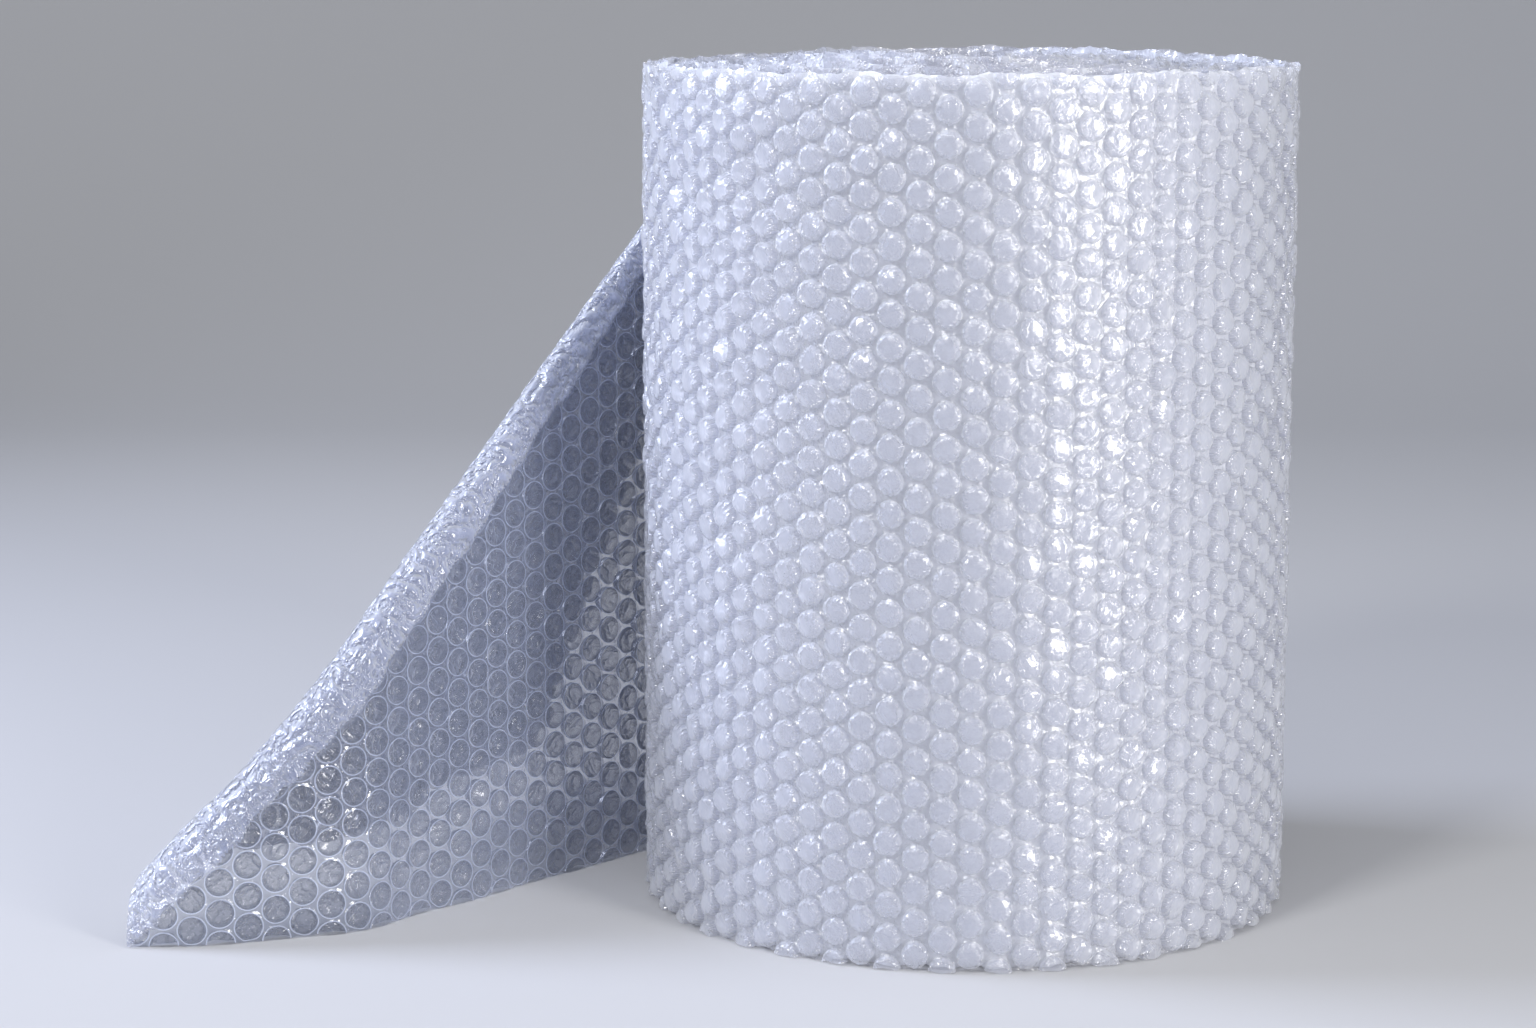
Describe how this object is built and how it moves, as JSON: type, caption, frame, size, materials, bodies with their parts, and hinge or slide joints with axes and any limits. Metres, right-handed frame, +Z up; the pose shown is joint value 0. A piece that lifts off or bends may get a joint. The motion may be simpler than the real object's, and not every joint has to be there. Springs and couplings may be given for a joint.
{
  "type": "bubble wrap roll",
  "caption": "Roll of clear small-bubble wrap standing on its end, with a loose end that stands beside it and is folded over at its upper corner.",
  "frame": {"origin": "on the roll's axis at the end it stands on", "axes": "+Z up along the roll's axis, +X to the right as the loose end points left, +Y back to the side where the web leaves the roll"},
  "size_m": [0.4107, 0.2481, 0.3],
  "materials": {
    "bubble_film": "clear low-density polyethylene film, milky in many layers"
  },
  "bodies": {
    "root": {"bubble_wrap_roll": "bubble_film"}
  },
  "joints": []
}
